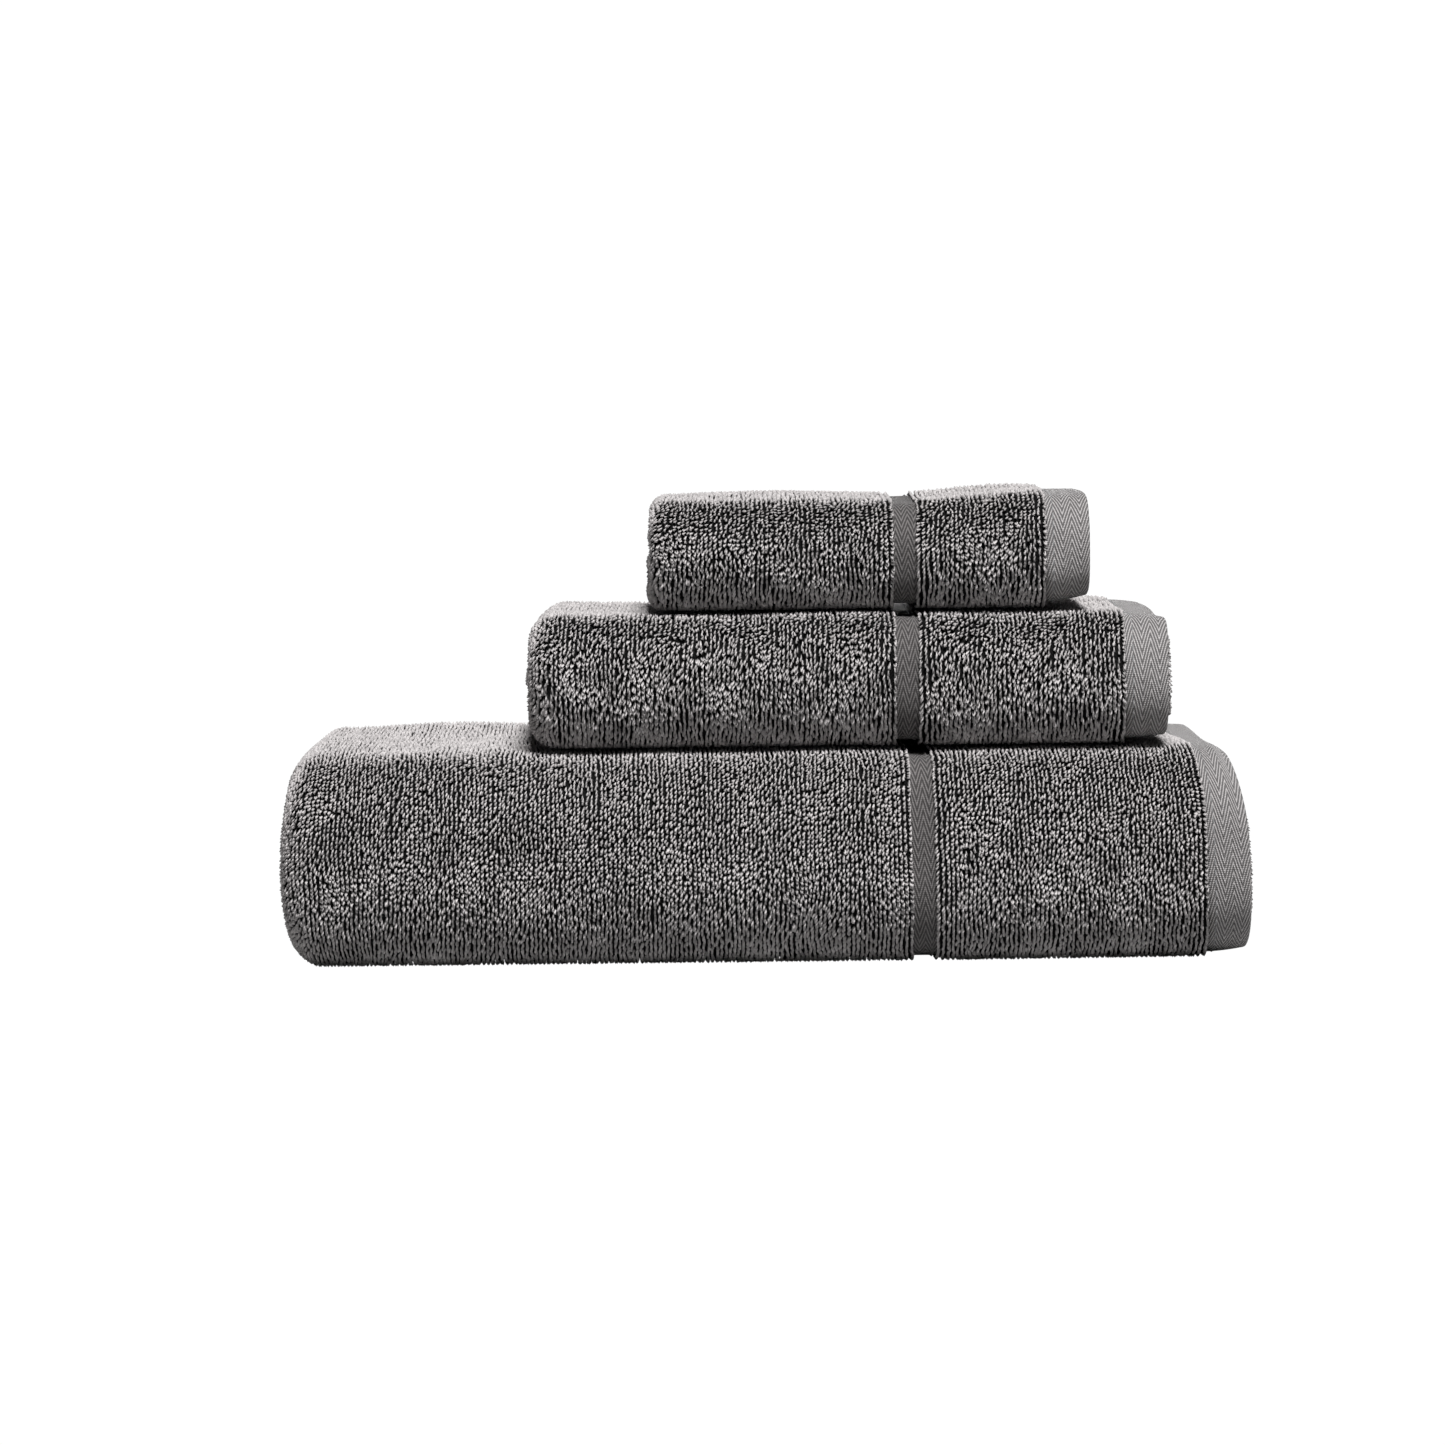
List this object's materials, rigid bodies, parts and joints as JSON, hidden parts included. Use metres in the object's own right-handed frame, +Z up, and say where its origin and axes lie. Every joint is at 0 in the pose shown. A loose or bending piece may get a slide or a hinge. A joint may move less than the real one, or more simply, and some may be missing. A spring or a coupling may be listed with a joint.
{
  "type": "bath towel set",
  "caption": "Stack of folded grey terry towels, a bath towel under a hand towel under a wash cloth, with woven bands and stitched hems at one end.",
  "frame": {"origin": "centre of the bath towel's underside, on the surface that the stack lies on", "axes": "+X along the folded towels to their hemmed ends, -Y towards the smooth folded fronts, +Z up"},
  "size_m": [0.35, 0.1952, 0.1708],
  "materials": {
    "bath_terry": "matte",
    "bath_flat_weave": "matte",
    "hand_terry": "matte",
    "hand_flat_weave": "matte",
    "wash_terry": "matte",
    "wash_flat_weave": "matte",
    "sewing_thread": "satin"
  },
  "bodies": {
    "bath_towel": {"bath_terry_field": "bath_terry", "bath_dobby_band": "bath_flat_weave", "bath_end_panel": "bath_terry", "bath_end_hem": "bath_flat_weave", "bath_hem_stitching": "sewing_thread", "bath_second_ply": "bath_terry", "bath_second_hem": "bath_flat_weave", "bath_third_ply": "bath_terry", "bath_inner_ply": "bath_terry", "bath_side_hems": "bath_flat_weave"},
    "hand_towel": {"hand_terry_field": "hand_terry", "hand_dobby_band": "hand_flat_weave", "hand_end_panel": "hand_terry", "hand_end_hem": "hand_flat_weave", "hand_hem_stitching": "sewing_thread", "hand_second_ply": "hand_terry", "hand_second_hem": "hand_flat_weave", "hand_inner_ply": "hand_terry", "hand_side_hems": "hand_flat_weave"},
    "wash_cloth": {"wash_terry_field": "wash_terry", "wash_dobby_band": "wash_flat_weave", "wash_end_panel": "wash_terry", "wash_end_hem": "wash_flat_weave", "wash_hem_stitching": "sewing_thread", "wash_inner_ply": "wash_terry", "wash_inner_hem": "wash_flat_weave", "wash_side_hems": "wash_flat_weave"}
  },
  "joints": [
    {"name": "hand_towel_lift", "type": "slide", "parent": "bath_towel", "child": "hand_towel", "axis": [0, 0, 1], "range_m": [0, 0.2]},
    {"name": "wash_cloth_lift", "type": "slide", "parent": "hand_towel", "child": "wash_cloth", "axis": [0, 0, 1], "range_m": [0, 0.2]}
  ]
}
